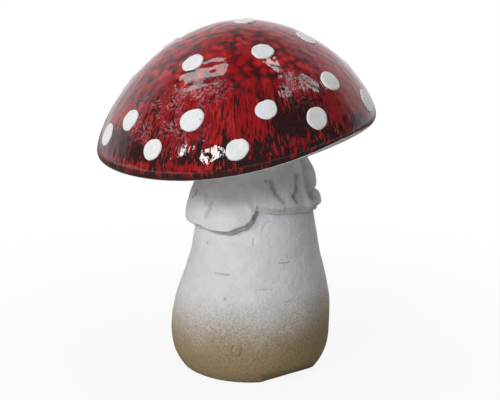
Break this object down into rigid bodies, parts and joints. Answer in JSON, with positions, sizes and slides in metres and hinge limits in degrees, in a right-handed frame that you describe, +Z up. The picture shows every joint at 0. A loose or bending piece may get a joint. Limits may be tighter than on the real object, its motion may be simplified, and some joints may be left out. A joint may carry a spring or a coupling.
{
  "type": "ceramic mushroom ornament",
  "caption": "Free-standing ceramic toadstool with a domed, glazed and spotted cap on a bulbous hollow stem with a ruffled skirt.",
  "frame": {"origin": "centre of the foot's flat rest face, on the surface that the ornament stands on", "axes": "+Z up from the foot to the crown; -Y is the front that the picture shows; the rim of the cap rises towards +X"},
  "size_m": [0.149, 0.1492, 0.1908],
  "materials": {
    "cap_glaze": "gloss",
    "spot_enamel": "satin",
    "stem_paint": "matte",
    "skirt_paint": "matte",
    "bare_clay": "matte",
    "slip": "matte"
  },
  "bodies": {
    "root": {"cap_dome": "cap_glaze", "cap_underside": "bare_clay", "neck_joint": "slip", "stem": "stem_paint", "skirt": "skirt_paint", "spot_01": "spot_enamel", "spot_02": "spot_enamel", "spot_03": "spot_enamel", "spot_04": "spot_enamel", "spot_05": "spot_enamel", "spot_06": "spot_enamel", "spot_07": "spot_enamel", "spot_08": "spot_enamel", "spot_09": "spot_enamel", "spot_10": "spot_enamel", "spot_11": "spot_enamel", "spot_12": "spot_enamel", "spot_13": "spot_enamel", "spot_14": "spot_enamel", "spot_15": "spot_enamel", "spot_16": "spot_enamel", "spot_17": "spot_enamel", "spot_18": "spot_enamel", "spot_19": "spot_enamel", "spot_20": "spot_enamel", "spot_21": "spot_enamel", "spot_22": "spot_enamel", "spot_23": "spot_enamel", "spot_24": "spot_enamel", "spot_25": "spot_enamel", "spot_26": "spot_enamel", "spot_27": "spot_enamel"}
  },
  "joints": []
}
